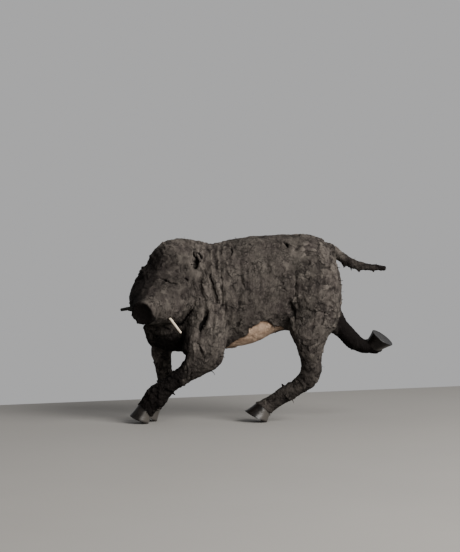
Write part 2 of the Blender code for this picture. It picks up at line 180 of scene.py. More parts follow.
# Edges of the sheets that stand up along the head's outline
SHEET_EDGES = (
    (3, -2.8, (163, 243.4), (166, 249)),
    (3.6, -1.3, (167.5, 241), (171, 246)),
    (3, -2.8, (150.6, 255.8), (155, 258.5)),
    (3.4, -1.3, (155, 251.5), (159, 255)),
    (3, -2.8, (139.8, 266.6), (144.5, 268.5)),
    (3, -3, (140.6, 271.6), (145, 272.8)),
    (2.6, -1.6, (187, 239), (188.5, 244)),
    (2.6, -1.5, (199, 241.5), (198, 246)),
    (2.4, 1.6, (146, 260.5), (150, 263.5)),
    (2.2, 1.4, (158, 248.4), (161, 252)),
)
FEATURES = (*TORN_EAR, *SHEET_EDGES, *EYE, *MOUTH, *JAW_SLIT, *NECK, *FLANK, *LEGS)

# The same on the far side, which the photograph doesn't show, in millimetres: back, left and up on the
# head, and x and z on the trunk
HIDDEN_HEAD = (
    (3.4, 5.6, (87, -36, 42), (94, -34, 50), (101, -31, 57)),
    (2.2, -1.6, (84, -34, 38), (92, -38, 47)),
    (1.3, 1.7, (53, -32, 25), (56, -37, 19), (58, -40, 12)),
    (3.8, -1.1, (60, -36, 27), (64, -41, 18)),
    (1.9, 2.8, (69, -41, -8), (66, -37, -18), (64, -30, -25)),
    (2.2, 2.2, (88, -39, 10), (96, -36, -6), (100, -30, -20)),
)
HIDDEN_TRUNK = (
    (1.8, 3.8, (-66, 196), (-62, 178), (-58, 158)),
    (2.4, 1.8, (-78, 190), (-72, 168), (-70, 140)),
    (1.6, 2.6, (-44, 205), (-42, 190)),
    (1.7, 3, (30, 222), (33, 214)),
    (1.6, 2.4, (47, 196), (48, 178), (46, 160)),
    (6, 3.4, (42, 158), (45, 140)),
    (1.6, 1.7, (4, 180), (8, 168), (6, 150)),
    (1.6, 1.7, (78, 190), (84, 172)),
)

# Side of the nose where the forehead's skin ends, as an outline of pixels
NOSE_SIDE = (
    (120, 276), (139.8, 274.6), (143.2, 275), (144.2, 281), (143, 287.5), (139.5, 294),
    (134.5, 300.5), (120, 306),
)
NOSE_STEP = 0.55

# Right edge of the painted shade on the forehead's side away from the lamp, in pixels
SHADED_SIDE = (
    (167, 238), (165, 252), (163, 262), (161.5, 270), (159, 279), (154, 287),
    (148, 295.5), (143, 300.5), (137, 304),
)

# Upper edge of the bare belly, in pixels
BELLY_EDGE = (
    (226, 348), (230, 344.4), (236.6, 339.8), (244, 337.3), (247.4, 334.8), (249, 332.3),
    (248.6, 328.2), (254.8, 325.7), (261.5, 321.6), (266.4, 320.7), (269.8, 323.2), (273, 325.7),
    (281.4, 326.5), (284, 328.5),
)
# The same on the far side as x and z, its height past its ends on both sides, and the height below
# which nothing is bare, in millimetres
FAR_BELLY_EDGE = ((-30, 98), (-20, 104), (-8, 112), (4, 118), (14, 113), (24, 106), (32, 100))
EDGE_PAST_ENDS = 70
BELLY_LOWEST = 88

# The hooves in millimetres: sole radius, top radius, height and the top's lean as in the part, then
# how high the worn rim rises and how hollow the wall is
FORE_HOOF = (13.4, 9.8, 20.5, 1.0)
HIND_HOOF = (16.4, 11, 18.2, 3.6)
FORE_TOE_LIFT = math.radians(25)
HIND_TOE_LIFT = math.radians(28.5)
HEEL_FLAT = 1.2
HOOF_SIDES = 72
HOOF_RINGS = 22
RIM_RISE = 0.55
WALL_HOLLOW = 0.5

# Cuffs of skin over the hooves, in millimetres
CUFF_THICKNESS = 0.8
CUFF_OVERLAP = 2.4
CUFF_RISE = 1.2
CUFF_SIDES = 36

TUSK_SIDES = 20
TUSK_RINGS = 36
# Least thickness of the tip as a share of the root's, and where a tusk narrows and rounds off
TUSK_BLUNT = 0.85
TUSK_NARROWS = 0.2
TUSK_ROUNDS = 0.97

# Loose fibres: a pixel, the heading in the picture to the right and up, the length in millimetres
# and the bend in degrees
FIBRES = (
    (210.2, 370.8, 1, 0.15, 9.5, -70), (220.4, 356.6, 1, 0, 7, -15),
    (221.8, 353, 1, 0.3, 5, -50), (339, 280.8, 1, -0.2, 6, 20),
    (340, 284.6, 1, 0.2, 4.4, -40), (158.4, 411, 0.9, 0.2, 4, 30),
    (298, 379, -0.8, 0.5, 3.4, 60), (344, 262.4, 0.3, -1, 6, 60),
    (346.6, 264.4, -0.2, -1, 5, -50), (351, 267, 0.4, -0.9, 5, 70),
    (358, 268.4, 0.5, -0.9, 4, -60), (341.5, 300, 0.9, 0.2, 3, 40),
    (236, 238.6, -0.4, 1, 2.8, 40),
)
FIBRE_RADIUS = 0.6
FIBRE_RINGS = 7
FIBRE_SIDES = 5
STRAY_FIBRES = 170
STRAY_RADIUS = 0.2
# Strays are more likely below the first height and absent below the second
STRAY_LOW = 60 * MM
STRAY_LOWEST = 24 * MM

# Torn scraps that stand off the skin: a pixel, the heading in the picture to the right and up, then
# the length, the half width and the lift of the tip in millimetres
SCRAPS = (
    (201, 262, -0.6, 0.5, 3.4, 1.5, 1.8), (203.2, 256.4, -0.9, 0.1, 3, 1.2, 1.8),
    (197, 251.4, 0.1, -1, 3.2, 1, 1.6), (190.6, 264, 0.8, -0.3, 2.8, 1, 1.4),
    (184, 319, -0.7, -0.6, 3, 1.3, 1.6), (180.4, 316.6, -0.3, -0.9, 3.2, 1.4, 1.8),
    (268, 319.6, 0.6, -0.9, 4.4, 2.1, 1.6), (275, 324.6, -0.4, -1, 3.6, 2, 1.4),
    (250.6, 326, 0.4, -1, 3.4, 2, 1.2), (145.6, 398.6, -0.9, -0.5, 4, 2.6, 1),
    (141, 401, -0.2, -1, 4, 2.6, 0.9), (150, 393.6, -0.8, 0.5, 4, 2.8, 1),
    (157.6, 387.4, -0.6, 0.8, 3.6, 2.4, 1), (173, 393, 0.7, -0.7, 3.4, 2.4, 1),
    (270.6, 398, -0.8, -0.4, 3.6, 2.4, 0.9), (282, 384.6, -0.5, 0.8, 3.4, 2.4, 0.9),
    (294, 400.6, 0.3, -1, 3.6, 2.2, 1.6), (322.6, 366, 0.8, -0.5, 3.2, 2, 1.4),
    (342.6, 262.8, 0.4, -0.9, 6, 2.4, 1), (344.6, 264, -0.2, -1, 5, 2, 0.8),
    (347, 265, 0.7, -0.7, 4, 1.6, 0.8), (350.4, 266.8, 0.3, -1, 5, 1.6, 0.8),
    (358.6, 269, 0.2, -1, 4, 3, 0.6), (366, 268.6, 0.7, -0.7, 2.4, 1.3, 0.8),
    (373, 269.6, 0.3, -0.9, 3.2, 2.4, 0.6), (337, 266.6, 0.8, -0.5, 3.6, 2, 1.6),
    (342, 292, 0.9, 0.1, 3.2, 2.2, 1.4), (129.4, 311.6, -1, -0.15, 7, 2.8, 0.4),
)
SCRAP_THICKNESS = 0.5
SCRAP_RINGS = 5

# The table top's back edge and how far it runs on
TABLE_EDGE = (Vector((-0.382, 0.245, 0)), Vector((0.363, 0.580, 0)))
TABLE_RUN_ON = 1.2
TABLE_DEPTH = 2.6
TABLE_THICKNESS = 0.03

# Light
BACKDROP = (0.46, 0.46, 0.463, 1)
KEY_PLACE = (1.32, -1.42, 1.08)
KEY_TARGET = (0, 0, 0.12)
KEY_SIZE = 1.5
KEY_POWER = 160
KEY_COLOUR = (1.0, 0.98, 0.95)

# Cells in a table of noise
NOISE_TABLE = 4096

# Soft edges of the skin's regions, in millimetres
HEAD_LENGTH = (82, 104)
HEAD_HALF_WIDTH = (48, 58)
HEAD_FAR_SIDE = 60
LEG_TOP = (78, 100)
RAISED_LEG_X = (100, 112)
RAISED_LEG_Z = (150, 165)
LIMB_REACH = (24, 34)
HAUNCH_X = (26, 50)
TAIL_X = (106, 114)
TAIL_Z = (188, 194)

# Sizes of the skin's relief in millimetres, from wide to narrow
PLATE_SIZES = (10.5, 5.4)
WRINKLE_SIZES = (6.5, 3.6)
FOLD_PITCHES = (9.5, 5.0, 3.3)
STREAK_PITCHES = (7.0, 3.8)
WRAP_PITCHES = (9.0, 4.6)

# Scale, detail and roughness of each noise in the materials, and how far two are drawn out upwards
NOISES = {
    "broad": (24, 4, 0.6), "tint": (38, 3, 0.55), "mottled": (230, 4, 0.65),
    "speckled": (800, 3, 0.7), "stained": (90, 4, 0.6), "pulp": (520, 5, 0.7),
    "fine_pulp": (1500, 3, 0.7), "grain": (120, 4, 0.6), "scuffs": (420, 3, 0.7),
    "wax": (200, 3, 0.6), "knife_marks": (380, 4, 0.6), "wood": (260, 4, 0.6),
    "pores": (400, 3, 0.6), "fine_wood": (900, 4, 0.6), "floor": (3, 4, 0.6),
}
DRAWN = ("mottled", "pulp")
DRAWN_OUT = 0.28

# Colours, each with its coats from the lowest up: the noise or mask that a coat follows, the value at
# which it starts, the value at which it is full, its share there and its colour
PAPER = (0.0225, 0.0184, 0.016)
PAPER_COATS = (
    ("broad", 0.35, 0.65, 1, (0.047, 0.04, 0.0345)),
    ("tint", 0.5, 0.72, 0.7, (0.0235, 0.0178, 0.0172)),
    ("tint", 0.48, 0.3, 0.6, (0.027, 0.0243, 0.02)),
    ("mottled", 0.46, 0.68, 0.55, (0.064, 0.056, 0.049)),
    ("mottled", 0.46, 0.3, 0.5, (0.0125, 0.0095, 0.0088)),
    ("speckled", 0.48, 0.75, 0.6, (0.009, 0.0072, 0.0065)),
    # The relief's ridges lighter: partly wear, partly a painted highlight
    ("raised", 0.48, 0.95, 0.85, (0.082, 0.071, 0.061)),
    # The relief's valleys darker: painted shade
    ("raised", 0.42, 0, 0.75, (0.0075, 0.0056, 0.0048)),
    # Painted shade in the creases
    ("crease_shade", 0.15, 0.9, 0.85, (0.0048, 0.0038, 0.0034)),
    # Painted shade, with the black of the snout and the darker tail, fibres and scraps
    ("shade_and_dark_paint", 0, 1, 0.97, (0.0029, 0.0022, 0.0021)),
)
BELLY = (0.335, 0.24, 0.172)
BELLY_COATS = (
    ("stained", 0.4, 0.75, 1, (0.205, 0.134, 0.09)),
    # Along the torn edge: a brown stain together with a painted shadow of the skin's edge
    ("torn_stain_and_shadow", 0, 1, 1, (0.058, 0.031, 0.019)),
)
# Painted shade inside the deep slits and holes
HOLLOW_SHADE_COATS = (("hollow_shade", 0.1, 0.8, 0.92, (0.003, 0.0025, 0.0025)),)
HORN = (0.003, 0.0024, 0.0021)
HORN_COATS = (
    ("grain", 0.35, 0.7, 1, (0.0075, 0.006, 0.0052)),
    ("scuffs", 0.55, 0.8, 0.5, (0.028, 0.024, 0.021)),
    # Painted highlight: a paler sheen on the wall's side towards the lamp
    ("painted_highlight", 0, 1, 1, (0.04, 0.036, 0.032)),
    ("sole", 0, 1, 1, (0.0045, 0.0043, 0.0041)),
)

# The tusks: node, swelling as a share of the thickness, material and its two colours
TUSKS = (
    ("tusk_left", 0, "tusk_pale", ((0.52, 0.46, 0.37, 1), (0.36, 0.29, 0.22, 1))),
    # The right tusk's dark colours are painted shade: it stands in the head's shade
    ("tusk_right", 0.5, "tusk_shaded", ((0.01, 0.0085, 0.007, 1), (0.005, 0.004, 0.0035, 1))),
)
FLOOR = ((0.17, 0.163, 0.153, 1), (0.195, 0.188, 0.176, 1))


def add_object(name, data):
    """A new object in the scene."""
    made = bpy.data.objects.new(name, data)
    bpy.context.scene.collection.objects.link(made)
    return made


def mesh_object(name, form):
    """A new object that owns the bmesh's mesh."""
    mesh = bpy.data.meshes.new(name)
    form.to_mesh(mesh)
    form.free()
    return add_object(name, mesh)


def ramp(low, high, values):
    """A smooth step from 0 at low to 1 at high."""
    share = np.clip((values - low) / (high - low), 0, 1)
    return share * share * (3 - 2 * share)


def lattice(cells, seed):
    """A random table place for each whole-numbered cell."""
    x, y, z = cells.T
    return ((x * 73856093) ^ (y * 19349663) ^ (z * 83492791) ^ (seed * 2654435)) % NOISE_TABLE


def wave_noise(points, seed):
    """Smooth noise of about -1 to 1, whose features are one unit wide."""
    slopes = np.random.default_rng(seed).normal(size=(NOISE_TABLE, 3))
    slopes /= np.linalg.norm(slopes, axis=1)[:, None]
    cell = np.floor(points).astype(np.int64)
    inside = points - cell
    fade = inside**3 * (inside * (inside * 6 - 15) + 10)
    total = np.zeros(len(points))
    for corner in itertools.product((0, 1), repeat=3):
        step = np.array(corner)
        share = np.prod(np.where(step, fade, 1 - fade), axis=1)
        slope = slopes[lattice(cell + step, seed)]
        total += share * np.einsum("ij,ij->i", slope, inside - step)
    return total * 1.6


def noise_of(points, size, seed):
    """Noise whose features are of the given size in millimetres."""
    return wave_noise(points / (size * MM), seed)


def facets(points, seed):
    """Random plates: how near a plate's edge each point lies, and a height that tilts each plate."""
    rng = np.random.default_rng(seed)
    spots = rng.uniform(0.1, 0.9, (NOISE_TABLE, 3))
    tilts = rng.normal(size=(NOISE_TABLE, 3))
    base = np.floor(points).astype(np.int64)
    first = np.full(len(points), np.inf)
    second = np.full(len(points), np.inf)
    height = np.zeros(len(points))
    for step in itertools.product((-1, 0, 1), repeat=3):
        cell = base + np.array(step)
        owner = lattice(cell, seed)
        away = points - cell - spots[owner]
        distance = np.linalg.norm(away, axis=1)
        closer = distance < first
        second = np.where(closer, first, np.minimum(second, distance))
        first = np.where(closer, distance, first)
        height = np.where(closer, np.einsum("ij,ij->i", tilts[owner], away), height)
    return second - first, height


def points_of(mesh, field="co"):
    """The mesh's points, or their normals, as rows of numbers."""
    found = np.empty(len(mesh.vertices) * 3, np.float32)
    mesh.vertices.foreach_get(field, found)
    return found.reshape(-1, 3).astype(float)


def points_and_normals(mesh):
    return points_of(mesh), points_of(mesh, "normal")


def move_points(mesh, points):
    mesh.vertices.foreach_set("co", points.astype(np.float32).ravel())
    mesh.update()


def store_mask(mesh, name, values):
    """Keeps a value for each point, which a material can read by its name."""
    layer = mesh.attributes.new(name, "FLOAT", "POINT")
    layer.data.foreach_set("value", values.astype(np.float32))


def surface_of(mesh):
    """The mesh's surface, for casting rays at it and finding its nearest spots."""
    return BVHTree.FromPolygons(
        [vertex.co for vertex in mesh.vertices], [tuple(face.vertices) for face in mesh.polygons]
    )


def apply_modifiers(shape):
    bpy.context.view_layer.update()
    graph = bpy.context.evaluated_depsgraph_get()
    made = bpy.data.meshes.new_from_object(shape.evaluated_get(graph))
    shape.modifiers.clear()
    shape.data = made


def line_distance(points, line):
    """Distance of each point to a line through corners, and the length along it to there."""
    corners = np.array(line, float)
    nearest = np.full(len(points), np.inf)
    along_line = np.zeros(len(points))
    passed = 0.0
    for start, end in zip(corners, corners[1:]):
        step = end - start
        length = np.linalg.norm(step)
        share = np.clip((points - start) @ step / length**2, 0, 1)
        distance = np.linalg.norm(points - start - share[:, None] * step, axis=1)
        along_line = np.where(distance < nearest, passed + share * length, along_line)
        nearest = np.minimum(nearest, distance)
        passed += length
    return nearest, along_line


def pixel_ray(pixel):
    """Heading of the camera's ray through a pixel of the photograph."""
    across = (pixel[0] - PHOTO_WIDTH / 2) / FOCAL_PIXELS
    down = (pixel[1] - PHOTO_HEIGHT / 2) / FOCAL_PIXELS
    return Vector((across, 1, -down)).normalized()


def seen_at(points):
    """The pixel of the photograph at which each point lies."""
    offset = points - np.array(CAMERA_PLACE)
    across = PHOTO_WIDTH / 2 + FOCAL_PIXELS * offset[:, 0] / offset[:, 1]
    down = PHOTO_HEIGHT / 2 - FOCAL_PIXELS * offset[:, 2] / offset[:, 1]
    return np.stack([across, down], axis=1)


def on_figure(tree, pixel):
    """Where the figure shows at a pixel of the photograph, or its nearest spot beside the ray."""
    heading = pixel_ray(pixel)
    place, normal, _, _ = tree.ray_cast(CAMERA_PLACE, heading)
    if place is None:
        # Walks along the ray to where it passes nearest
        depth = -CAMERA_PLACE.y / heading.y
        for _ in range(4):
            place, normal, _, _ = tree.find_nearest(CAMERA_PLACE + heading * depth)
            depth = (place - CAMERA_PLACE).dot(heading)
    return place, normal


def turned_axes(turn, drop, tilt):
    """Forward, left and up axes of a head that is turned, dropped and tilted."""
    level = math.cos(drop)
    forward = Vector((-math.cos(turn) * level, -math.sin(turn) * level, -math.sin(drop)))
    level_left = Vector((math.sin(turn), -math.cos(turn), 0))
    level_up = forward.cross(level_left)
    left = level_left * math.cos(tilt) - level_up * math.sin(tilt)
    up = level_up * math.cos(tilt) + level_left * math.sin(tilt)
    return forward, left, up


HEAD_FORWARD, HEAD_LEFT, HEAD_UP = turned_axes(HEAD_TURN, HEAD_DROP, HEAD_TILT)


def head_place(back, left, up):
    """A point of the head, from millimetres back from the snout, to its left, and up."""
    return SNOUT_PLACE + (HEAD_LEFT * left + HEAD_UP * up - HEAD_FORWARD * back) * MM


def head_shares(points):
    """Back, left and up of each point in the head's own frame, in millimetres."""
    offset = (points - np.array(SNOUT_PLACE)) / MM
    return -offset @ np.array(HEAD_FORWARD), offset @ np.array(HEAD_LEFT), offset @ np.array(HEAD_UP)


def standing_pose(size, heel_x, heel_y, lift):
    """Sole, upward axis and toe's heading of a hoof that stands on its heel."""
    toe = Vector((-math.cos(lift), 0, math.sin(lift)))
    rise = Vector((math.sin(lift), 0, math.cos(lift)))
    lowest = Vector((heel_x, heel_y, -HEEL_FLAT)) * MM
    return size, lowest + toe * size[0] * MM, rise, toe


HOOVES = {
    "hoof_fore_left": standing_pose(FORE_HOOF, -145.22, 2.59, FORE_TOE_LIFT),
    "hoof_fore_right": standing_pose(FORE_HOOF, -135.96, 31.71, FORE_TOE_LIFT),
    "hoof_hind_left": standing_pose(HIND_HOOF, 9.63, 21.12, HIND_TOE_LIFT),
    "hoof_hind_right": (
        HIND_HOOF,
        Vector((166.46, 52.89, 109.85)) * MM,
        Vector((-0.55, 0.27, -0.79)).normalized(),
        Vector((0.82, 0, -0.57)).normalized(),
    ),
}


def ring(centre, across, along, sides):
    turns = [math.tau * i / sides for i in range(sides)]
    return [centre + across * math.cos(t) + along * math.sin(t) for t in turns]


def tube(form, rings):
    """Adds a closed skin over rings of equally many points, with flat ends."""
    rows = [[form.verts.new(point) for point in row] for row in rings]
    for near, far in zip(rows, rows[1:]):
        for i in range(len(near)):
            j = (i + 1) % len(near)
            form.faces.new((near[i], near[j], far[j], far[i]))
    form.faces.new(rows[0])
    form.faces.new(rows[-1])


def loft(name, rings):
    """An object that is one closed tube."""
    form = bmesh.new()
    tube(form, rings)
    bmesh.ops.recalc_face_normals(form, faces=form.faces)
    return mesh_object(name, form)


def cuff(name, size, sole, rise, toe):
    """A short cuff of skin over the top of a hoof, ragged where it ends."""
    radius, top_radius, height, lean = size
    rng = np.random.default_rng(len(name))
    side = rise.cross(toe)
    turns = [math.tau * i / CUFF_SIDES for i in range(CUFF_SIDES)]
    hem = CUFF_OVERLAP * (1 + 0.5 * np.sin(np.array(turns) * 2 + rng.uniform(0, 6)))
    hem += rng.uniform(-0.6, 0.6, CUFF_SIDES)
    lower, upper = [], []
    for turn, drop in zip(turns, hem):
        outward = toe * math.cos(turn) + side * math.sin(turn)
        share = (height - drop) / height
        wide = radius + (top_radius - radius) * share + CUFF_THICKNESS
        middle = sole + (rise * (height - drop) - toe * lean * share) * MM
        lower.append(middle + outward * wide * MM)
        middle = sole + (rise * (height + CUFF_RISE) - toe * lean) * MM
        upper.append(middle + outward * top_radius * 0.9 * MM)
    return loft(name, [lower, upper])


def skin_form():
    """The CAD body, with cuffs over the hooves, as one smooth even mesh."""
    form = bmesh.new()
    form.from_mesh(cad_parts["body"].data)
    bmesh.ops.remove_doubles(form, verts=form.verts, dist=1e-6)
    for name, pose in HOOVES.items():
        added = cuff(name + "_cuff", *pose)
        form.from_mesh(added.data)
        bpy.data.objects.remove(added)
    skin = mesh_object("papier_mache_skin", form)
    even = skin.modifiers.new("even", "REMESH")
    even.mode = "VOXEL"
    even.voxel_size = SKIN_VOXEL
    smooth = skin.modifiers.new("smooth", "SMOOTH")
    smooth.factor = 0.5
    smooth.iterations = FORM_SMOOTHING
    apply_modifiers(skin)
    return skin


def pressed(points, lines):
    """Depth of the pressed lines at each point, in metres, and the painted shade in deep, narrow ones.
    """
    depth = np.zeros(len(points))
    dark = np.zeros(len(points))
    points = warped(points, 4.5, 0.9, 92) * MM
    for line, half_width, deep in lines:
        reach = 1.5 * half_width * MM
        near = np.all(points > np.min(line, axis=0) - reach, axis=1)
        near &= np.all(points < np.max(line, axis=0) + reach, axis=1)
        distance, along = line_distance(points[near], line)
        length = np.linalg.norm(np.diff(line, axis=0), axis=1).sum()
        taper = 0.45 + 0.55 * np.sin(np.pi * np.clip(along / length, 0.02, 0.98)) ** 0.7
        ragged = 1 + 0.4 * noise_of(points[near], 2.6, 91)
        share = np.clip(1 - (distance / (half_width * MM * taper * ragged)) ** 2, 0, 1) ** 1.3
        depth[near] += deep * MM * share * taper
        # Lines deeper than they are wide get painted shade inside
        steep = np.clip((deep / half_width - 1.25) / 0.6, 0, 1)
        dark[near] = np.maximum(dark[near], steep * share)
    return depth, dark


def feature_lines(tree):
    """Every pressed or raised line as corners on the figure, half width and depth."""
    lines = [([on_figure(tree, p)[0] for p in pixels], wide, deep) for wide, deep, *pixels in FEATURES]
    for wide, deep, *corners in HIDDEN_HEAD:
        places = [tree.find_nearest(head_place(*corner))[0] for corner in corners]
        lines.append((places, wide, deep))
    for wide, deep, *corners in HIDDEN_TRUNK:
        starts = [Vector((x * MM, FAR_OUT, z * MM)) for x, z in corners]
        lines.append(([tree.ray_cast(start, Vector((0, -1, 0)))[0] for start in starts], wide, deep))
    return [([tuple(p) for p in places], wide, deep) for places, wide, deep in lines]


def belly_reach(points, tree):
    """How far inside the bare belly each point lies, in millimetres, with a ragged edge."""
    near = np.array([on_figure(tree, pixel)[0] for pixel in BELLY_EDGE]) / MM
    x, y, z = (points / MM).T
    near_edge = np.interp(x, near[:, 0], near[:, 2], EDGE_PAST_ENDS, EDGE_PAST_ENDS)
    far = np.array(FAR_BELLY_EDGE, float)
    far_edge = np.interp(x, far[:, 0], far[:, 1], EDGE_PAST_ENDS, EDGE_PAST_ENDS)
    side = ramp(TRUNK_Y / MM - 12, TRUNK_Y / MM + 12, y)
    edge = near_edge * (1 - side) + far_edge * side
    ragged = noise_of(points, 4, 41) + 0.6 * noise_of(points, 1.8, 42)
    reach = edge - z + ragged
    return np.where(z > BELLY_LOWEST, reach, -10)


def nose_reach(points, normals):
    """How far inside the side of the nose each point lies in the photograph, in pixels."""
    back, left, _ = head_shares(points)
    pixels = seen_at(points)
    pixels[:, 0] += 0.9 * noise_of(points, 3, 44)
    pixels[:, 1] += 0.9 * noise_of(points, 3, 45)
    corners = np.array(NOSE_SIDE)
    inside = np.zeros(len(points), bool)
    for (x0, y0), (x1, y1) in zip(corners, np.roll(corners, -1, axis=0)):
        across = (y0 > pixels[:, 1]) != (y1 > pixels[:, 1])
        crossing = x0 + (pixels[:, 1] - y0) * (x1 - x0) / (y1 - y0 + 1e-9)
        inside ^= across & (pixels[:, 0] < crossing)
    edge, _ = line_distance(pixels, corners[1:-1])
    reach = np.where(inside, edge, -edge)
    near = (back > 8) & (back < 80) & (left < 20) & (normals[:, 1] < 0.35)
    return np.where(near, reach, -10)


def limb_shares(points):
    """Distance to the nearest limb's line and the length along it, in millimetres."""
    nearest = np.full(len(points), np.inf)
    along = np.zeros(len(points))
    for i, line in enumerate(LIMBS):
        distance, share = line_distance(points / MM, line)
        along = np.where(distance < nearest, share + 200 * i, along)
        nearest = np.minimum(nearest, distance)
    return nearest, along


def tail_share(points):
    x, _, z = (points / MM).T
    return ramp(*TAIL_X, x) * ramp(*TAIL_Z, z)


def region_masks(points):
    """The shares of head, limb, folded and crumpled skin, and the length along the limb."""
    x, y, z = (points / MM).T
    back, left, _ = head_shares(points)
    distance, along = limb_shares(points)
    head = (1 - ramp(*HEAD_LENGTH, back)) * (1 - ramp(*HEAD_HALF_WIDTH, np.abs(left)))
    head *= y < HEAD_FAR_SIDE
    low = 1 - ramp(*LEG_TOP, z)
    raised = ramp(*RAISED_LEG_X, x) * (1 - ramp(*RAISED_LEG_Z, z))
    limb = np.clip(low + raised + tail_share(points), 0, 1) * (1 - ramp(*LIMB_REACH, distance))
    folded = (1 - ramp(*HAUNCH_X, x)) * (1 - limb) * (1 - head)
    crumpled = ramp(*HAUNCH_X, x) * (1 - limb)
    return head, limb, folded, crumpled, along


def warped(points, size, reach, seed):
    """The points in millimetres, pushed about by noise of a given size and reach."""
    shift = [noise_of(points, size, seed + i) for i in range(3)]
    return points / MM + reach * np.stack(shift, axis=1)


def ridged(noise):
    """Turns noise into sharp ridges and round valleys of -1 to 1."""
    return 1 - 2.4 * np.abs(noise)


def lined(noise, width):
    """Thin lines of 0 to 1 where the noise crosses zero."""
    return 1 - ramp(0, width, np.abs(noise))


def folds(points, seed, pitch, stretch, slant):
    """Noise that runs round the trunk, with a feature about every pitch millimetres along it."""
    x, y, z = warped(points, 14, 3.2, seed + 7).T
    u = (x + slant * (z - 150)) / pitch
    return wave_noise(np.stack([u, y / (pitch * stretch), z / (pitch * stretch)], axis=1), seed)


def streaks(points, seed, pitch, stretch):
    """Noise that is drawn out upwards over the head."""
    back, left, up = head_shares(warped(points, 11, 4.0, seed + 7) * MM)
    places = np.stack([back / (pitch * stretch * 0.6), left / pitch, up / (pitch * stretch)], axis=1)
    return wave_noise(places, seed)


def wraps(points, along, seed, pitch):
    """Noise that is drawn out round a limb."""
    places = np.stack([along / pitch, *(points.T[1:] / (pitch * 2.4 * MM))], axis=1)
    places[:, 0] += 0.6 * noise_of(points, 7, seed + 3)
    return wave_noise(places, seed)


def plates(bent):
    """Height of the paper's tilted plates, and where their edges are creased."""
    wide, narrow = PLATE_SIZES
    wide_gap, wide_tilt = facets(bent / wide, 21)
    narrow_gap, narrow_tilt = facets(bent / narrow, 22)
    edge = np.maximum(1 - ramp(0.0, 0.09, wide_gap), 0.7 * (1 - ramp(0.0, 0.13, narrow_gap)))
    return 0.75 * wide_tilt + 0.4 * narrow_tilt, edge


def relief(points):
    """Height of the folds and crumples, the fine share of it, and where the paper is creased."""
    head, limb, folded, crumpled, along = region_masks(points)
    bent = warped(points, 9, 2.6, 11)
    tilted, plate_edge = plates(bent)
    # Creases come and go
    patchy = ramp(-0.55, 0.3, noise_of(points, 12, 24))
    wrinkle = lined(wave_noise(bent / WRINKLE_SIZES[0], 28), 0.10)
    fine_wrinkle = lined(wave_noise(warped(points, 5, 1.4, 15) / WRINKLE_SIZES[1], 29), 0.13)
    wide_crumple = ridged(wave_noise(bent / 11, 25))
    swell = noise_of(points, 19, 31) + noise_of(points, 9.5, 32) / 2
    wide_fold = folds(points, 51, FOLD_PITCHES[0], 4.5, 0.10)
    fold = folds(points, 52, FOLD_PITCHES[1], 5.0, -0.08)
    fine_fold = folds(points, 53, FOLD_PITCHES[2], 6.0, 0.05)
    wide_streak = streaks(points, 71, STREAK_PITCHES[0], 2.6)
    fine_streak = streaks(points, 72, STREAK_PITCHES[1], 4.0)
    wide_wrap = wraps(points, along, 61, WRAP_PITCHES[0])
    fine_wrap = wraps(points, along, 62, WRAP_PITCHES[1])
    # The folds are deep on the neck and fade towards the flank
    deep = 1 - 0.6 * ramp(-52, -24, points[:, 0] / MM)
    height = crumpled * (1.1 * tilted + 0.4 * wide_crumple)
    height += folded * (0.5 * tilted + deep * (0.62 * ridged(wide_fold) + 0.55 * ridged(fold)))
    height += folded * (0.10 + 0.22 * deep) * ridged(fine_fold)
    height += head * (0.8 * tilted + 0.42 * ridged(wide_streak) + 0.34 * ridged(fine_streak))
    height += limb * (0.6 * tilted + 0.38 * ridged(wide_wrap) + 0.28 * ridged(fine_wrap))
    height += 0.5 * tail_share(points) * ridged(wave_noise(bent / 4, 26))
    on_folds = (0.6 * lined(fine_fold, 0.12), 0.6 * lined(fold, 0.08), plate_edge * patchy)
    on_head = (lined(fine_streak, 0.13), lined(wide_streak, 0.07), wrinkle)
    creased = crumpled * np.maximum(plate_edge, 0.7 * fine_wrinkle) * patchy
    creased += folded * np.maximum.reduce(on_folds)
    creased += head * np.maximum.reduce(on_head) * patchy
    creased += limb * np.maximum(lined(fine_wrap, 0.12), plate_edge) * patchy
    creased = np.clip(creased, 0, 1)
    fine = height - 0.7 * creased
    return (0.5 * swell + height - 0.42 * creased) * MM, fine, creased


def snout_relief(points, normals):
    """Height of the snout's rim over its sunk disc, in metres, and the disc's share."""
    back, left, up = head_shares(points)
    radius = np.hypot(left, up) + 0.35 * noise_of(points, 5, 46)
    front = (back < SNOUT_DEPTH) * ramp(0.2, 0.7, normals @ np.array(HEAD_FORWARD))
    rim_radius, rim_width, rim_height = SNOUT_RIM
    disc_radius, disc_edge, disc_depth = SNOUT_DISC
    rim = rim_height * np.exp(-(((radius - rim_radius) / rim_width) ** 2))
    disc = 1 - ramp(disc_radius - disc_edge, disc_radius, radius)
    return front * (rim - disc_depth * disc) * MM, front * disc


